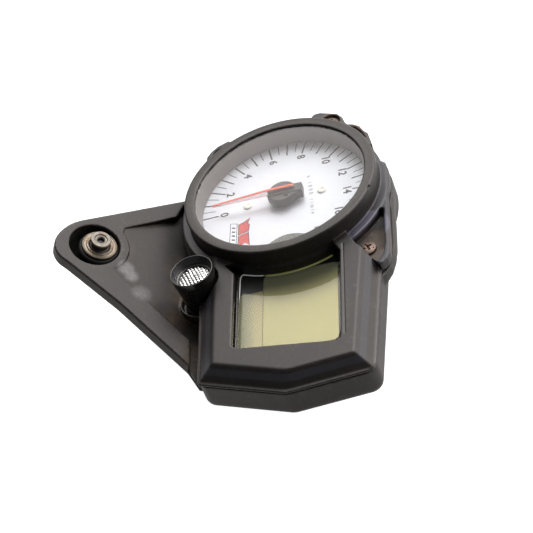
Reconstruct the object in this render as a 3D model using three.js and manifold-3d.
// Motorcycle instrument cluster: a round pointer gauge and a rectangular liquid crystal display
// in one housing, with a shift lamp and a rubber-mounted side arm.
// Millimetres, +Z is the dial's outward normal, the pointer axis is the Z axis and Z = 0 is the
// flat back of the rear housing. +X is the top of the instrument when it is mounted, and -Y is
// the display side.
import * as THREE from "three";
import { mergeVertices } from "three/addons/utils/BufferGeometryUtils.js";
import Module from "manifold-3d";

const wasm = await Module();
wasm.setup();

// ---------------------------------------------------------------- driving dimensions
const WALL = 2.4;
const GAP = 0.3; // clearance between neighbouring pieces
const Z_UNDER = -1; // start of a through cut, below the housing
const Z_OVER = 80; // end of a through cut, above the housing

// front cover
const Z_RIM = 46; // top of the bezel
const Z_LENS_SEAT = Z_RIM - 0.9; // underside of the bezel's lip
const Z_SHELF = 35.6; // ring shelf round the bezel
const Z_FRAME = 38.2; // flat top of the display frame
const Z_RIDGE = 31.5; // foot of the display frame's chamfer
const Z_COVER_BOTTOM = 30.2;
const R_RIM = 50.25; // bezel outside
const R_RIM_IN = 44.5; // bezel opening
const R_WALL_IN = 47.6; // inside of the bezel wall
const R_SHELF = 54.8; // ring shelf outside

// rear housing
const Z_REAR_TOP = 29.9; // upper edge of the wall
const Z_STEP = 23; // underside of the step beside the round part
const Z_REAR_EDGE = 16; // where the wall turns in under the display
const Z_REAR_FLOOR = 14; // back of the display part
const Z_CAVITY_TOP = 40;
const R_REAR = R_SHELF + 0.5; // round part outside
const R_POD_BACK = 43; // round back

// screws, as [x, y]
const EARS = [[41.6, -46.2], [23.6, 53.6], [-34.6, 46.6]]; // ears round the bezel
const R_EAR = 8.6;
const BACK_SCREWS = [[-36.6, -107.5], [37.2, -118.5]];
const R_SCREW_HEAD = 4.1;
const R_SCREW = 1.8;

// gauge
const Z_DIAL = 34; // face of the dial
const Z_DIAL_BACK = Z_DIAL - 1.2;
const Z_LENS_BACK = 43.7;
const R_DIAL = 46.6;
const R_GAUGE_FIT = R_WALL_IN - GAP; // pieces that fit inside the bezel wall
const PEGS = { left: [-20.5, 3.2], right: [18.6, 2.9] };

// board
const Z_BOARD = 20.6;
const Z_BOARD_TOP = Z_BOARD + 1.6;

// shift lamp
const LAMP = [-44.6, -50.8]; // axis
const Z_LAMP_RIM = 45;
const Z_LAMP_SOCKET = 27;
const R_LAMP_SOCKET = 11.2;

// rear mounts, vent and connector
const MOUNTS = { left: [-24, -98], right: [25, -100] };
const VENT = [-26, -14];

// side arm: its own plane has the origin and normal below
const ARM_ORIGIN = new THREE.Vector3(-50, -40, 27);
const ARM_NORMAL = new THREE.Vector3(0.4993, -0.11, 0.8594).normalize();
const ARM_THICK = 6.5;
const CUP = [-50.2, 17.4]; // grommet cup, in the arm's plane
const COLLAR = [-47.6, 18.4]; // grommet axis, in the arm's plane

// pointer drive: module 0.25, 48:8 twice
const TOOTH_MODULE = 0.25;
const WHEEL_TEETH = 48;
const PINION_TEETH = 8;
const CENTRES = (TOOTH_MODULE * (WHEEL_TEETH + PINION_TEETH)) / 2; // axle spacing
const ROTOR_LEAN = THREE.MathUtils.degToRad(28); // from -Y towards +X
const TRANSFER = [0, -CENTRES];
const ROTOR = [
  CENTRES * Math.sin(ROTOR_LEAN),
  -CENTRES - CENTRES * Math.cos(ROTOR_LEAN),
];
const OUTPUT_PHASE = 0; // gear phases in radians
const TRANSFER_PHASE = 0.3;
const POINTER_ANGLE = 180; // pointer direction at rest, degrees from +X
const R_SHAFT = 0.8;
const R_SHAFT_BORE = 0.84;

// ---------------------------------------------------------------- materials
const MATERIAL_SETTINGS = {
  blackPlastic: { color: 0x26262a, roughness: 0.62 },
  blackSatin: { color: 0x18181a, roughness: 0.4 },
  frosted: { color: 0x8e8a88, roughness: 0.6 },
  clear: { color: 0xdfe6e6, roughness: 0.06 },
  dial: { color: 0xf6f5fa, roughness: 0.5 },
  red: { color: 0xe8442c, roughness: 0.45 },
  hub: { color: 0x3a3836, roughness: 0.45 },
  steel: { color: 0xb8b2a8, roughness: 0.35, metalness: 1 },
  darkMetal: { color: 0x4a3f38, roughness: 0.6, metalness: 0.6 },
  nylon: { color: 0xe4e0d4, roughness: 0.5 },
  magnet: { color: 0x33302e, roughness: 0.5, metalness: 0.3 },
  copper: { color: 0xa8643a, roughness: 0.4, metalness: 0.9 },
  board: { color: 0x1f5a36, roughness: 0.55 },
  displayGlass: { color: 0xc8c49b, roughness: 0.15 },
  white: { color: 0xeceae2, roughness: 0.6 },
  rubber: { color: 0x1a1a1a, roughness: 0.8 },
  smoke: { color: 0x2a2c26, roughness: 0.15 },
  silver: { color: 0xdcdcdc, roughness: 0.15, metalness: 1 },
};
const MATERIALS = Object.fromEntries(
  Object.entries(MATERIAL_SETTINGS).map(([name, settings]) => [
    name,
    new THREE.MeshStandardMaterial({ metalness: 0, ...settings }),
  ]),
);

// ---------------------------------------------------------------- solids
// Welds a geometry, drops triangles of no area (a lathe makes them on its axis) and turns the
// result the right way out.
function solid(geometry) {
  const bare = new THREE.BufferGeometry();
  bare.setAttribute("position", geometry.getAttribute("position"));
  bare.setIndex(geometry.index);
  const welded = mergeVertices(bare, 1e-4);
  const corners = welded.index.array;
  const triangles = [];
  for (let i = 0; i < corners.length; i += 3) {
    const triangle = [corners[i], corners[i + 1], corners[i + 2]];
    if (new Set(triangle).size === 3) triangles.push(...triangle);
  }
  const build = () =>
    new wasm.Manifold(
      new wasm.Mesh({
        numProp: 3,
        vertProperties: new Float32Array(welded.attributes.position.array),
        triVerts: new Uint32Array(triangles),
      }),
    );
  const built = build();
  if (built.volume() >= 0) return built;
  triangles.reverse();
  return build();
}

const union = (...solids) => solids.reduce((sum, next) => sum.add(next));
const cut = (body, ...tools) => tools.reduce((rest, tool) => rest.subtract(tool), body);

// Closed profile of [radius, z] turned round a line parallel to Z through centre.
function lathe(profile, segments = 48, [x, y] = [0, 0]) {
  const points = [...profile, profile[0]].map(([radius, z]) => new THREE.Vector2(radius, z));
  const geometry = new THREE.LatheGeometry(points, segments);
  geometry.rotateX(Math.PI / 2);
  geometry.translate(x, y, 0);
  return solid(geometry);
}

function tube(outer, inner, z0, z1, segments, centre) {
  return lathe([[inner, z0], [outer, z0], [outer, z1], [inner, z1]], segments, centre);
}

const cylinder = (radius, z0, z1, segments, centre) => tube(radius, 0, z0, z1, segments, centre);

// Cutter that passes through the whole housing.
const bore = (radius, segments, centre) => cylinder(radius, Z_UNDER, Z_OVER, segments, centre);

const vectors = (points) => points.map(([x, y]) => new THREE.Vector2(x, y));

function prism(points, z0, z1) {
  const shape = new THREE.Shape(vectors(points));
  const geometry = new THREE.ExtrudeGeometry(shape, { depth: z1 - z0, bevelEnabled: false });
  geometry.translate(0, 0, z0);
  return solid(geometry);
}

function box([x0, x1], [y0, y1], [z0, z1]) {
  const geometry = new THREE.BoxGeometry(x1 - x0, y1 - y0, z1 - z0);
  geometry.translate((x0 + x1) / 2, (y0 + y1) / 2, (z0 + z1) / 2);
  return solid(geometry);
}

// Counter-clockwise outlines with the same number of points, joined side to side from the lowest
// up. Each ring is [points, z], and z may be a function of x.
function loft(rings) {
  const count = rings[0][0].length;
  const positions = [];
  for (const [points, z] of rings)
    for (const [x, y] of points) positions.push(x, y, typeof z === "function" ? z(x) : z);
  const indices = [];
  for (let k = 0; k + 1 < rings.length; k++)
    for (let i = 0; i < count; i++) {
      const low = k * count + i;
      const lowNext = k * count + ((i + 1) % count);
      const high = low + count;
      const highNext = lowNext + count;
      indices.push(low, lowNext, highNext, low, highNext, high);
    }
  const cap = (ring) => THREE.ShapeUtils.triangulateShape(vectors(rings[ring][0]), []);
  const last = rings.length - 1;
  const top = last * count;
  for (const [a, b, c] of cap(0)) indices.push(a, c, b);
  for (const [a, b, c] of cap(last)) indices.push(top + a, top + b, top + c);
  const geometry = new THREE.BufferGeometry();
  geometry.setAttribute("position", new THREE.Float32BufferAttribute(positions, 3));
  geometry.setIndex(indices);
  return solid(geometry);
}

const group = new THREE.Group();

function place(name, material, body, parent = group) {
  const { vertProperties, triVerts } = body.getMesh();
  const geometry = new THREE.BufferGeometry();
  geometry.setAttribute(
    "position",
    new THREE.BufferAttribute(new Float32Array(vertProperties), 3),
  );
  geometry.setIndex(new THREE.BufferAttribute(new Uint32Array(triVerts), 1));
  geometry.computeVertexNormals();
  const mesh = new THREE.Mesh(geometry, MATERIALS[material]);
  mesh.name = name;
  parent.add(mesh);
}

// ---------------------------------------------------------------- outline tools
// Convex counter-clockwise outline with each corner [x, y, radius] rounded by a number of chords.
function rounded(corners, chords = 4) {
  const count = corners.length;
  return corners.flatMap(([x, y, radius], i) => {
    if (!radius) return [[x, y]];
    const [previousX, previousY] = corners[(i + count - 1) % count];
    const [nextX, nextY] = corners[(i + 1) % count];
    const back = new THREE.Vector2(previousX - x, previousY - y).normalize();
    const ahead = new THREE.Vector2(nextX - x, nextY - y).normalize();
    const half = Math.acos(back.dot(ahead)) / 2;
    const inward = back.clone().add(ahead).normalize();
    const reach = radius / Math.tan(half); // from the corner to the end of the arc
    const centreX = x + (inward.x * radius) / Math.sin(half);
    const centreY = y + (inward.y * radius) / Math.sin(half);
    const start = Math.atan2(y + back.y * reach - centreY, x + back.x * reach - centreX);
    const sweep = Math.PI - 2 * half;
    return Array.from({ length: chords + 1 }, (_, k) => {
      const angle = start + (sweep * k) / chords;
      return [centreX + radius * Math.cos(angle), centreY + radius * Math.sin(angle)];
    });
  });
}

// Moves each edge of a counter-clockwise outline of [x, y, radius] corners inwards by inset.
function shrink(corners, inset) {
  const count = corners.length;
  return corners.map(([x, y, radius = 0], i) => {
    const [previousX, previousY] = corners[(i + count - 1) % count];
    const [nextX, nextY] = corners[(i + 1) % count];
    const before = new THREE.Vector2(previousY - y, x - previousX).normalize(); // edge normals
    const after = new THREE.Vector2(y - nextY, nextX - x).normalize();
    const scale = inset / (1 + before.dot(after));
    return [
      x + (before.x + after.x) * scale,
      y + (before.y + after.y) * scale,
      Math.max(radius - inset, 0.4),
    ];
  });
}

// Moves each point away from the mean of all the points.
function grow(points, distance) {
  const mean = (axis) => points.reduce((sum, point) => sum + point[axis], 0) / points.length;
  const centreX = mean(0);
  const centreY = mean(1);
  return points.map(([x, y]) => {
    const length = Math.hypot(x - centreX, y - centreY);
    const scale = (length + distance) / length;
    return [centreX + (x - centreX) * scale, centreY + (y - centreY) * scale];
  });
}

// ---------------------------------------------------------------- shared outlines
// Display frame corners, [x, y, radius]: the flat top, the chamfer's foot and the rear housing.
const TOP_CORNERS = [
  [39.0, -28, 0], [-34.6, -28, 0], [-34.6, -110.4, 2.5], [0, -124.2, 4], [37.6, -122.6, 3.5],
];
const RIDGE_CORNERS = [
  [50.6, -28, 0], [-45.0, -28, 0], [-43.6, -116.2, 3.5], [0, -133.0, 6], [43.3, -129.2, 6],
];
const REAR_RADII = [0, 0, 7, 10, 7];
const REAR_CORNERS = RIDGE_CORNERS.map(([x, y], i) => [x, y, REAR_RADII[i]]);

// ---------------------------------------------------------------- front cover
// Outlines here are [x, y]. The display window widens from its low edge to its top edge.
const WINDOW_TOP = [
  [29.2, -30], [-24.8, -30], [-24.8, -101.4], [-23.4, -103.2], [-19.4, -104.6],
  [4.2, -108.6], [26.0, -112.4], [28.0, -111.4], [28.6, -109.6],
];
const WINDOW_LOW = [
  [27.2, -30], [-24.0, -30], [-24.0, -100.6], [-22.9, -102.2], [-19.4, -103.4],
  [4.2, -104.4], [24.0, -104.6], [26.2, -103.6], [27.0, -101.6],
];
// rail beside the round part, on the +X side
const RAIL = [
  [40, -8], [35, -8], [35, -40], [36.2, -45.8], [47.9, -64.4],
  [49.6, -63.7], [51.9, -61.0], [53.2, -57.4], [53.7, -50], [53.9, -8],
];
// The display frame ends in a diagonal beside the screw pocket, outside and inside.
const DIAGONAL = [[32.4, -38.9], [37.2, -48.8], [46.6, -59.6], [70, -59.8], [70, -20], [32.4, -20]];
const DIAGONAL_IN = [
  [30.0, -40.0], [35.0, -50.2], [45.2, -62.0], [70, -62.2], [70, -20], [30.0, -20],
];
const NOTCH = [[-24.7, -52.2], [-24.7, -40], [-31.0, -40], [-30.0, -44.6]];
const POCKET = [
  [33.4, -41.0], [37.4, -48.8], [46.8, -60.6], [49.0, -56.2], [50.4, -50], [50.4, -27], [40, -27],
];
const POCKET_FLOOR = [
  [35.0, -41.6], [36.4, -50.4], [46.6, -62.4], [51.4, -56.8], [51.8, -45], [51.8, -22],
  [48.0, -24],
];

function coverOutside() {
  const ridge = rounded(RIDGE_CORNERS);
  const frame = loft([
    [ridge, Z_COVER_BOTTOM],
    [ridge, Z_RIDGE],
    [rounded(TOP_CORNERS), Z_FRAME],
  ]);
  return union(
    cylinder(R_SHELF, Z_COVER_BOTTOM, Z_SHELF),
    ...EARS.map((ear) => cylinder(R_EAR, Z_COVER_BOTTOM, Z_SHELF - 1.2, 18, ear)),
    prism(RAIL, Z_COVER_BOTTOM, Z_SHELF),
    cut(frame, prism(DIAGONAL, 31.3, Z_OVER)),
    cylinder(R_RIM, Z_COVER_BOTTOM, Z_RIM),
  );
}

function coverHollow() {
  const ridge = rounded(shrink(RIDGE_CORNERS, WALL));
  const frame = loft([
    [ridge, Z_COVER_BOTTOM - 1],
    [ridge, Z_RIDGE - 0.4],
    [rounded(shrink(TOP_CORNERS, 1.0)), Z_FRAME - WALL],
  ]);
  return union(
    cylinder(R_SHELF - WALL, Z_COVER_BOTTOM - 1, Z_SHELF - WALL),
    cut(frame, prism(DIAGONAL_IN, Z_COVER_BOTTOM - 2, Z_OVER)),
  );
}

function frontCover() {
  const window = loft([
    [WINDOW_LOW, Z_COVER_BOTTOM - 1],
    [WINDOW_LOW, 31.2],
    [WINDOW_TOP, Z_FRAME + 0.01],
    [WINDOW_TOP, Z_RIM + 2],
  ]);
  const windowBesideBezel = cut(window, bore(R_RIM));
  const shell = cut(
    coverOutside(),
    coverHollow(),
    bore(R_RIM_IN),
    cylinder(R_WALL_IN, 20, Z_LENS_SEAT),
    windowBesideBezel,
    cut(prism(NOTCH, Z_FRAME - 5.0, Z_FRAME + 1), bore(R_RIM)),
    cut(prism(POCKET, 29, Z_RIM), bore(R_SHELF)),
  );
  const bezelWallAndPocketFloor = cut(
    union(
      cylinder(R_RIM, Z_COVER_BOTTOM, Z_SHELF),
      prism(POCKET_FLOOR, Z_COVER_BOTTOM, Z_COVER_BOTTOM + 1.4),
    ),
    bore(R_WALL_IN),
    windowBesideBezel,
  );
  return cut(
    union(shell, bezelWallAndPocketFloor),
    // screw head recesses; the first ear's head lies in the pocket
    ...EARS.slice(1).map((ear) => cylinder(5.0, 31.9, Z_RIM, 20, ear)),
    ...EARS.map((ear) => bore(R_SCREW + 0.5, 12, ear)),
    bore(11.5, 32, LAMP),
  );
}
place("front_cover", "blackPlastic", frontCover());

// ---------------------------------------------------------------- dial
const DIAL_LENS_PROFILE = [
  [0, Z_LENS_BACK],
  [R_GAUGE_FIT, Z_LENS_BACK],
  [R_GAUGE_FIT, Z_LENS_SEAT - GAP],
  [R_RIM_IN - 0.5, Z_LENS_SEAT - GAP],
  [R_RIM_IN - 0.5, 45.2],
  [0, 45.2],
];
const TRIM_RING_PROFILE = [
  [43.7, Z_DIAL + GAP],
  [R_GAUGE_FIT, Z_DIAL + GAP],
  [R_GAUGE_FIT, Z_LENS_BACK - GAP],
  [44.6, Z_LENS_BACK - GAP],
];
const PEG_PROFILE = [
  [0, 24], [0.85, 24], [0.85, Z_DIAL + 0.3], [1.6, Z_DIAL + 0.3],
  [1.6, Z_DIAL + 1.0], [1.1, Z_DIAL + 1.5], [0, Z_DIAL + 1.5],
];
// warning lamp window, [x, y]
const TELLTALE = [
  [-13.0, -29.6], [-9.0, -27.2], [-4.6, -25.9], [-0.4, -25.6], [3.8, -26.0],
  [8.0, -27.2], [11.6, -29.0], [12.6, -31.6], [10.2, -34.0], [5.2, -35.4],
  [-1, -36.0], [-7.2, -35.2], [-12.0, -33.2],
];

function dialFace() {
  return cut(
    cylinder(R_DIAL, Z_DIAL_BACK, Z_DIAL),
    bore(2.4, 24),
    ...Object.values(PEGS).map((peg) => bore(1.15, 16, peg)),
    prism(grow(TELLTALE, GAP), Z_UNDER, Z_OVER),
  );
}

place("dial_lens", "clear", lathe(DIAL_LENS_PROFILE));
place("dial_trim_ring", "frosted", lathe(TRIM_RING_PROFILE));
place("dial_face", "dial", dialFace());
place("telltale_window", "smoke", prism(TELLTALE, Z_DIAL_BACK, Z_DIAL + 0.15));
for (const [side, peg] of Object.entries(PEGS))
  place(`dial_peg_${side}`, "steel", lathe(PEG_PROFILE, 20, peg));

// ---------------------------------------------------------------- pointer
// Drawn pointing along +X; everything in this group turns about Z.
const pointer = new THREE.Group();
pointer.rotation.z = THREE.MathUtils.degToRad(POINTER_ANGLE);
group.add(pointer);

const HUB_PROFILE = [[0, 36.0], [7.5, 36.0], [7.7, 36.5], [7.3, 40.8], [6.9, 41.2], [0, 41.2]];
const HUB_TAIL = [
  [7.8, -3.0], [7.8, 3.0], [-10.4, 3.2], [-10.6, 3.0], [-10.6, -3.0], [-10.4, -3.2],
];
const HUB_SLOT = [[-6.9, 0.95], [-6.9, -0.95], [12, -0.95], [12, 0.95]];
const BLADE = [
  [-6.6, -0.62], [7.4, -0.62], [8.4, -0.6], [36.6, -0.32], [37.0, 0],
  [36.6, 0.32], [8.4, 0.6], [7.4, 0.62], [-6.6, 0.62],
];

function needleHub() {
  return cut(
    union(lathe(HUB_PROFILE, 40), prism(HUB_TAIL, 36.2, 41.2)),
    cylinder(R_SHAFT_BORE, 30, 38.9, 16),
    prism(HUB_SLOT, 39.4, 42),
  );
}

// deepest at the hub, with its top edge falling towards the tip
function needleBlade() {
  return loft([
    [BLADE, (x) => (x < 8 ? 39.7 : 39.4)],
    [BLADE, (x) => 43.0 - 0.0735 * Math.max(0, x - 7.4)],
  ]);
}

place("needle_hub", "hub", needleHub(), pointer);
place("needle_blade", "red", needleBlade(), pointer);
place("pointer_shaft", "steel", cylinder(R_SHAFT, 24.6, 38.6, 16), pointer);

// ---------------------------------------------------------------- pointer drive
// Teeth are thinner than half a pitch, with slightly sloped flanks.
function gear(teeth, z0, z1, [x, y], phase) {
  const pitchRadius = (TOOTH_MODULE * teeth) / 2;
  const tip = pitchRadius + 0.2;
  const root = pitchRadius - 0.28;
  const halfTooth = (0.34 * TOOTH_MODULE * Math.PI) / 2; // at the pitch circle
  const rootAngle = (halfTooth * 1.35) / root;
  const tipAngle = (halfTooth * 0.55) / tip;
  const points = [];
  for (let i = 0; i < teeth; i++) {
    const middle = phase + (i * 2 * Math.PI) / teeth;
    for (const [radius, angle] of [
      [root, middle - rootAngle],
      [tip, middle - tipAngle],
      [tip, middle + tipAngle],
      [root, middle + rootAngle],
    ])
      points.push([x + radius * Math.cos(angle), y + radius * Math.sin(angle)]);
  }
  return prism(points, z0, z1);
}

// Phase that stands a pinion's tooth in the gap of the wheel that it meets; direction is the
// angle from the wheel's centre to the pinion's.
function pinionPhase(wheelPhase, direction) {
  const turned = ((direction - wheelPhase) * WHEEL_TEETH) / (2 * Math.PI);
  const offset = turned - Math.floor(turned); // 0 = wheel tooth on the line of centres
  return direction + Math.PI + ((offset - 0.5) * 2 * Math.PI) / PINION_TEETH;
}

function outputWheel() {
  return cut(
    union(
      gear(WHEEL_TEETH, 29.2, 30.2, [0, 0], OUTPUT_PHASE),
      cylinder(1.9, 28.7, 31.0, 20),
    ),
    bore(R_SHAFT_BORE, 16),
  );
}

function transferWheel() {
  const phase = pinionPhase(OUTPUT_PHASE, -Math.PI / 2);
  return cut(
    union(
      gear(WHEEL_TEETH, 27.2, 28.2, TRANSFER, TRANSFER_PHASE),
      gear(PINION_TEETH, 28.1, 30.4, TRANSFER, phase),
    ),
    bore(0.45, 12, TRANSFER),
  );
}

function motorRotor() {
  const direction = Math.atan2(ROTOR[1] - TRANSFER[1], ROTOR[0] - TRANSFER[0]);
  return union(
    cylinder(3.0, 25.4, 26.5, 32, ROTOR),
    cylinder(2.6, 24.2, 25.5, 32, ROTOR),
    gear(PINION_TEETH, 26.4, 28.6, ROTOR, pinionPhase(TRANSFER_PHASE, direction)),
    cylinder(0.45, 23.95, 30.0, 12, ROTOR),
  );
}

place("output_wheel", "nylon", outputWheel());
place("transfer_wheel", "nylon", transferWheel());
place("transfer_axle", "steel", cylinder(0.4, 25.4, 31.4, 12, TRANSFER));
place("motor_rotor", "magnet", motorRotor());

// ---------------------------------------------------------------- motor stator and case
// Box round the rotor's axis: x from the axis, half its width in y, and z.
function rotorBox([x0, x1], halfWidth, zRange) {
  const [x, y] = ROTOR;
  return box([x + x0, x + x1], [y - halfWidth, y + halfWidth], zRange);
}

function statorPlate() {
  const z = [24.9, 25.9];
  return union(
    tube(5.0, 3.5, ...z, 40, ROTOR),
    rotorBox([-14, -4], 1.4, z),
    rotorBox([4, 13], 1.4, z),
  );
}

function coil([x0, x1]) {
  const core = rotorBox([x0 - 1, x1 + 1], 1.7, [24.6, 26.2]);
  return cut(rotorBox([x0, x1], 3.2, [23.8, 27.0]), core);
}

// Outline with x measured from the rotor's axis.
function caseOutline([x0, x1], [y0, y1], radius) {
  const corners = [[x1, y0], [x1, y1], [x0, y1], [x0, y0]];
  return rounded(corners.map(([x, y]) => [ROTOR[0] + x, y, radius]), 3);
}
const CASE_OUTSIDE = caseOutline([-17.2, 14.1], [-26.6, 8.4], 2);
const CASE_INSIDE = caseOutline([-16.0, 13.0], [-25.4, 7.2], 1);

// tray on the board
function motorBase() {
  return union(
    cut(prism(CASE_OUTSIDE, 23.0, 27.4), prism(CASE_INSIDE, 23.6, 28)),
    tube(1.6, 0.9, 23.3, 24.4, 16),
    cut(cylinder(1.2, 23.3, 25.2, 16, TRANSFER), cylinder(0.42, 24, 30, 12, TRANSFER)),
  );
}

// cap with the shaft's bearing hole
function motorCap() {
  return cut(
    union(
      cut(prism(CASE_OUTSIDE, 27.7, 32.3), prism(CASE_INSIDE, 27, 31.6)),
      cylinder(1.5, 31.3, 32.0, 16, TRANSFER),
      cylinder(1.5, 30.4, 32.0, 16, ROTOR),
    ),
    bore(0.9, 16),
    cylinder(0.42, 20, 31.7, 12, TRANSFER),
    cylinder(0.52, 20, 31.2, 12, ROTOR),
  );
}

place("stator_plate", "steel", statorPlate());
place("coil_left", "copper", coil([-12.5, -6.2]));
place("coil_right", "copper", coil([6.2, 12.0]));
place("motor_base", "blackPlastic", motorBase());
place("motor_cap", "blackPlastic", motorCap());

// ---------------------------------------------------------------- board
// part of the board behind the display, [x, y]
const BOARD_TONGUE = [[36, -20], [-34, -20], [-34, -100], [-30, -104], [32, -112], [36, -108]];
const TELLTALE_LEDS = [[-8.4, -31.2], [-2.8, -31.8], [2.8, -31.8], [8.2, -31.0]];

function circuitBoard() {
  return cut(
    union(cylinder(45.5, Z_BOARD, Z_BOARD_TOP), prism(BOARD_TONGUE, Z_BOARD, Z_BOARD_TOP)),
    bore(12.5, 40, LAMP),
    ...Object.values(PEGS).map((peg) => bore(1.6, 16, peg)),
  );
}

function telltaleLed([x, y]) {
  const z = Z_BOARD_TOP + GAP;
  return union(
    box([x - 1.4, x + 1.4], [y - 1.2, y + 1.2], [z, z + 1.7]),
    cylinder(1.0, z + 1.6, z + 2.5, 16, [x, y]),
  );
}

// keeps the warning lamps' light under their window
function telltaleLightBox() {
  return cut(
    box([-12.4, 12.0], [-35.6, -28.0], [23.6, 32.4]),
    box([-11.4, 11.0], [-34.6, -29.0], [20, 40]),
  );
}

place("circuit_board", "board", circuitBoard());
TELLTALE_LEDS.forEach((centre, i) =>
  place(`telltale_led_${i + 1}`, "white", telltaleLed(centre)),
);
place("telltale_light_box", "white", telltaleLightBox());

// ---------------------------------------------------------------- display
const DISPLAY_LENS = [
  [26.6, -46], [-23.7, -46], [-23.7, -100.4], [-22.6, -102.0],
  [23.8, -104.2], [25.9, -103.2], [26.6, -101.2],
];

// full thickness beside the bezel, with a thinner tongue under it
function displayLens() {
  const z = 29.3;
  return union(
    cut(prism(DISPLAY_LENS, z, 30.5), bore(R_RIM + GAP)),
    cut(prism(DISPLAY_LENS, z, 29.9), bore(44.6)),
  );
}

function displayHolder() {
  return cut(
    box([-26.6, 28.6], [-106.6, -46.6], [22.9, 26.6]),
    box([-21.0, 23.4], [-100.8, -50.6], [20, 30]),
    box([-24.4, 26.4], [-104.4, -48.6], [23.6, 27]),
  );
}

place("display_lens", "clear", displayLens());
place("display_glass", "displayGlass", box([-23.0, 25.4], [-102.6, -48.5], [26.9, 28.9]));
place("display_holder", "white", displayHolder());
place("display_diffuser", "white", box([-24.0, 26.0], [-104.0, -49.0], [24.0, 25.0]));
place("display_contact_strip", "rubber", box([-22.6, 25.0], [-108.6, -107.0], [22.5, 26.4]));

// ---------------------------------------------------------------- rear housing's arm
// The arm's frame has the arm's normal as z, and x along +X projected into its plane.
const ARM_FRAME = (() => {
  const xAxis = new THREE.Vector3(1, 0, 0).addScaledVector(ARM_NORMAL, -ARM_NORMAL.x).normalize();
  const yAxis = new THREE.Vector3().crossVectors(ARM_NORMAL, xAxis);
  return new THREE.Matrix4().makeBasis(xAxis, yAxis, ARM_NORMAL).setPosition(ARM_ORIGIN);
})();
const inArm = (body) => body.transform([...ARM_FRAME.elements]);

// [x, y] in the arm's plane
const ARM_OUTLINE = [
  [-3.0, 56.2], [-57.2, 33.0], [-62.4, 30.0], [-67.0, 24.8], [-70.2, 18.8],
  [-70.4, 12.6], [-67.8, 7.6], [-62.6, 3.4], [-36.5, -18.4], [-1.5, -52.4],
  [4.4, -62.0], [12, -62], [12, 56.2],
];
const ARM_PANEL = [
  [-40.5, 2.6], [1.0, -38.4], [14, -38.4], [14, 52.0], [-4.7, 52.0], [-8.4, 43.4], [-35.2, 31.1],
];
// [x, y] in the housing's plane
const ARM_LIMIT = [[-42.5, -20], [-42.5, -130], [20, -130], [20, -20]];

function rearArm() {
  // recess that deepens towards the housing
  const panelFloor = (x) => -0.6 - 4.0 * THREE.MathUtils.clamp((x + 40) / 38, 0, 1);
  return cut(
    union(
      inArm(prism(ARM_OUTLINE, -ARM_THICK, 0)),
      inArm(cylinder(13.6, -11, -ARM_THICK + 0.5, 32, CUP)),
    ),
    inArm(loft([[ARM_PANEL, panelFloor], [ARM_PANEL, 6]])),
    inArm(cylinder(12.9, -5.5, 5, 32, CUP)),
    inArm(cylinder(8.2, -20, 5, 28, COLLAR)),
    // the arm stops at the housing's own walls and, near them, at their upper edge
    bore(R_SHELF - 1),
    prism(ARM_LIMIT, Z_UNDER, Z_OVER),
    box([-57, 20], [-140, 60], [Z_REAR_TOP, Z_OVER]),
  );
}

// ---------------------------------------------------------------- seal and its groove
// outline that the seal follows under the rail, counter-clockwise [x, y]
const RAIL_SEAL = [
  [40, -8], [35, -8], [35, -64.6], [46.2, -64.6],
  [50.0, -60.0], [52.8, -53.4], [53.9, -45], [53.9, -8],
];
const RAIL_SEAL_REACH = 55.1; // less the band's radius, gives its inset along the rail

// Band between two radii at the round part, and two insets from the display's ridge.
function sealBand({ outerRadius, innerRadius, outerInset, innerInset, z0, z1 }) {
  const filled = (radius, inset) =>
    union(
      cylinder(radius, z0, z1),
      prism(shrink(RAIL_SEAL, RAIL_SEAL_REACH - radius), z0, z1),
      prism(rounded(shrink(RIDGE_CORNERS, inset)), z0, z1),
    );
  const pieces = cut(
    filled(outerRadius, outerInset),
    filled(innerRadius, innerInset),
    bore(12.4, 32, LAMP),
    ...EARS.map((ear) => bore(2.9, 16, ear)),
  ).decompose();
  // only the largest length stays
  return pieces.sort((a, b) => b.volume() - a.volume())[0];
}

// ---------------------------------------------------------------- rear housing
const RAIL_REAR = [
  [55.1, -8], [55.1, -32], [54.9, -46], [54.0, -54], [52.2, -60.8],
  [49.2, -66.2], [46.4, -67.8], [35, -67.8], [35, -8],
];
const RAIL_REAR_IN = [
  [52.6, -8], [52.4, -46], [51.4, -53.6], [48.8, -59.4], [43.6, -63.4], [30, -63.4], [30, -8],
];
const ROUND_BACK_PROFILE = [
  [0, 0],
  [R_POD_BACK - 3, 0],
  [R_POD_BACK, 2.5],
  [R_POD_BACK + 3, Z_REAR_FLOOR + 1],
  [0, Z_REAR_FLOOR + 1],
];
// posts under the board: x, y, foot z
const BOARD_POSTS = [
  [-28, -88, Z_REAR_FLOOR + 1],
  [30, -96, Z_REAR_FLOOR + 1],
  [0, 36, 1],
  [34, 8, 1],
  [-34, 8, 1],
];

function rearOutside() {
  return union(
    cylinder(R_REAR, Z_REAR_FLOOR, Z_REAR_TOP),
    ...EARS.map((ear) => cylinder(R_EAR, Z_REAR_FLOOR + 6, Z_REAR_TOP, 18, ear)),
    prism(RAIL_REAR, Z_STEP, Z_REAR_TOP),
    loft([
      [rounded(shrink(REAR_CORNERS, 5.5)), Z_REAR_FLOOR - 0.5],
      [rounded(shrink(REAR_CORNERS, 0.5)), Z_REAR_EDGE],
      [rounded(shrink(REAR_CORNERS, 0.4)), Z_REAR_TOP],
    ]),
    lathe(ROUND_BACK_PROFILE, 56),
    rearArm(),
    ...Object.values(MOUNTS).map((mount) => cylinder(9.5, 0, Z_REAR_FLOOR + 1, 20, mount)),
    cylinder(R_LAMP_SOCKET, Z_REAR_FLOOR, Z_LAMP_SOCKET, 32, LAMP),
  );
}

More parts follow.
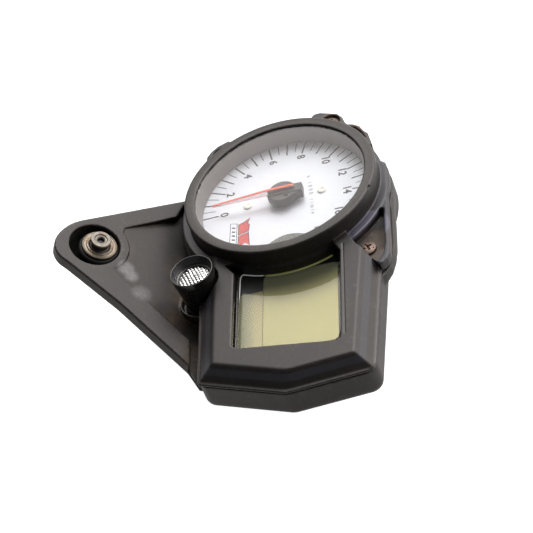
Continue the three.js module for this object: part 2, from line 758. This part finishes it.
function rearCavity() {
  const z = Z_REAR_FLOOR + WALL;
  const cavity = union(
    cylinder(R_REAR - WALL, z, Z_CAVITY_TOP),
    prism(RAIL_REAR_IN, Z_STEP + WALL, Z_CAVITY_TOP),
    loft([
      [rounded(shrink(RIDGE_CORNERS, 8.0)), z],
      [rounded(shrink(RIDGE_CORNERS, 3.3)), Z_REAR_EDGE + 1.6],
      [rounded(shrink(RIDGE_CORNERS, 2.9)), Z_CAVITY_TOP],
    ]),
    cylinder(R_POD_BACK - 3.4, WALL, z + 1, 56),
  );
  return cut(cavity, bore(R_LAMP_SOCKET, 32, LAMP)); // the lamp socket stays solid
}

// screw bosses and board posts that stand in the cavity
function rearBosses() {
  const boss = (centre, radius, height) =>
    cylinder(radius, Z_REAR_FLOOR + height, Z_REAR_TOP - 0.1, 14, centre);
  return [
    // the first ear's boss reaches further down and further in than the others
    ...EARS.map((ear, i) => cut(boss(ear, 4.6, i ? 7 : 1), bore(R_SHELF - (i ? 2.2 : 12)))),
    ...BACK_SCREWS.map((screw) => boss(screw, 3.6, 1)),
    ...BOARD_POSTS.map(([x, y, z]) => cylinder(3, z, Z_BOARD - GAP, 10, [x, y])),
  ];
}

function rearHoles() {
  const shankHole = R_SCREW + 0.1;
  const headHole = R_SCREW_HEAD + 0.4;
  return [
    sealBand({
      outerRadius: 54.7,
      innerRadius: 53.1,
      outerInset: 1.2,
      innerInset: 2.7,
      z0: 28.7,
      z1: 31,
    }),
    // lamp bore, open at the back for its cable
    cylinder(9.9, Z_LAMP_SOCKET - 10, Z_OVER, 28, LAMP),
    bore(4.2, 16, LAMP),
    ...Object.values(MOUNTS).map((mount) => cylinder(6.2, Z_UNDER, 8, 20, mount)),
    // connector window, in the round back
    box([-16, 16], [20, 33], [Z_UNDER, 4]),
    cylinder(2.4, Z_UNDER, 4, 14, VENT),
    ...EARS.map((ear) => cylinder(shankHole, Z_REAR_TOP - 8.6, Z_OVER, 12, ear)),
    ...BACK_SCREWS.map((screw) => bore(shankHole, 12, screw)),
    ...BACK_SCREWS.map((screw) => cylinder(headHole, Z_UNDER, Z_REAR_FLOOR + 1.5, 16, screw)),
  ];
}

function rearHousing() {
  return cut(union(cut(rearOutside(), rearCavity()), ...rearBosses()), ...rearHoles());
}

// seal in the groove of the parting line
function housingSeal() {
  return sealBand({
    outerRadius: 54.4,
    innerRadius: 53.4,
    outerInset: 1.5,
    innerInset: 2.4,
    z0: 29.0,
    z1: 30.05,
  });
}

place("rear_housing", "blackPlastic", rearHousing());
place("housing_seal", "rubber", housingSeal());

// ---------------------------------------------------------------- screws
const COVER_SCREW_PROFILE = [
  [0, Z_REAR_TOP - 8], [R_SCREW, Z_REAR_TOP - 7], [R_SCREW, 32.3], [R_SCREW_HEAD, 32.3],
  [R_SCREW_HEAD, 33.6], [3.0, 34.5], [0, 34.8],
];
const BACK_SCREW_PROFILE = [
  [0, 13.0], [3.4, 13.2], [R_SCREW_HEAD, 14.0], [R_SCREW_HEAD, 15.2],
  [R_SCREW, 15.2], [R_SCREW, 27.5], [0, 28.5],
];

// Screw with a cross recess over the given z range.
function crossHeadScrew(profile, [x, y], recess) {
  const arm = (halfX, halfY) => box([x - halfX, x + halfX], [y - halfY, y + halfY], recess);
  return cut(lathe(profile, 16, [x, y]), arm(2.4, 0.45), arm(0.45, 2.4));
}

for (const [name, profile, centres, recess] of [
  ["cover_screw", COVER_SCREW_PROFILE, EARS, [33.6, 36]],
  ["back_screw", BACK_SCREW_PROFILE, BACK_SCREWS, [12, 14.2]],
])
  centres.forEach((centre, i) =>
    place(`${name}_${i + 1}`, "darkMetal", crossHeadScrew(profile, centre, recess)),
  );

// ---------------------------------------------------------------- shift lamp
// name, material, segments, profile of [radius, z] from the lamp's axis
const LAMP_PIECES = [
  ["hood", "blackSatin", 32, [
    [8.6, 18.2], [9.5, 18.2], [9.5, 30.5], [10.6, 40.0],
    [11.0, Z_LAMP_RIM], [10.1, Z_LAMP_RIM], [9.5, 40.2], [8.6, 36.0],
  ]],
  ["reflector", "silver", 28, [
    [2.9, 31.0], [3.6, 31.0], [7.8, 37.0], [8.3, 37.0], [8.3, 37.9], [7.4, 37.9], [2.9, 32.2],
  ]],
  ["lens", "clear", 28, [[0, 38.2], [8.3, 38.2], [8.3, 38.9], [5, 39.8], [0, 40.2]]],
  ["bulb", "clear", 18, [[0, 27.0], [2.5, 27.0], [2.5, 33.2], [1.8, 35.0], [0, 35.6]]],
  ["holder", "blackPlastic", 24, [
    [0, 20.0], [3.4, 20.0], [3.4, 22.6], [8.2, 22.6], [8.2, 26.7], [0, 26.7],
  ]],
];
for (const [name, material, segments, profile] of LAMP_PIECES)
  place(`shift_lamp_${name}`, material, lathe(profile, segments, LAMP));

// ---------------------------------------------------------------- arm mount
// grommet, washer and sleeve, in the arm's frame
const armMount = new THREE.Group();
armMount.applyMatrix4(ARM_FRAME);
group.add(armMount);

const ARM_GROMMET_PROFILE = [
  [5.6, -13.2], [11.0, -13.2], [11.0, -11.3], [7.9, -11.3],
  [7.9, -5.2], [10.0, -5.2], [10.0, -2.6], [5.6, -2.6],
];
const ARM_SLEEVE_PROFILE = [
  [2.7, -13.8], [5.25, -13.8], [5.25, 3.0], [4.8, 3.5], [3.1, 3.5], [2.7, 3.1],
];
place("arm_grommet", "rubber", lathe(ARM_GROMMET_PROFILE, 28, COLLAR), armMount);
place("arm_washer", "steel", tube(8.85, 5.55, -2.3, -1.0, 28, COLLAR), armMount);
place("arm_sleeve", "steel", lathe(ARM_SLEEVE_PROFILE, 28, COLLAR), armMount);

// ---------------------------------------------------------------- rear mounts
for (const [side, mount] of Object.entries(MOUNTS)) {
  place(`rear_grommet_${side}`, "rubber", tube(5.9, 3.4, 0.4, 7.6, 20, mount));
  place(`rear_sleeve_${side}`, "steel", tube(3.1, 2.1, 0, 7.4, 20, mount));
}

// ---------------------------------------------------------------- connector and vent
const PIN_X = [-10.5, -3.5, 3.5, 10.5];
const PIN_ROWS = [[24.0, 25.0], [28.0, 29.0]]; // y range of each row
const VENT_PROFILE = [[1.0, 0.5], [2.1, 0.5], [2.1, 3.9], [3.2, 3.9], [3.2, 4.6], [1.0, 4.6]];

function connectorHeader() {
  const body = cut(
    box([-15.4, 15.4], [20.6, 32.4], [0.6, Z_BOARD - GAP]),
    box([-14.0, 14.0], [22.0, 31.0], [-1, 12]),
  );
  const pins = PIN_ROWS.flatMap((row) => PIN_X.map((x) => box([x - 0.5, x + 0.5], row, [3, 12.5])));
  return union(body, ...pins);
}
place("connector_header", "blackPlastic", connectorHeader());
place("vent_plug", "rubber", lathe(VENT_PROFILE, 14, VENT));

export default group;
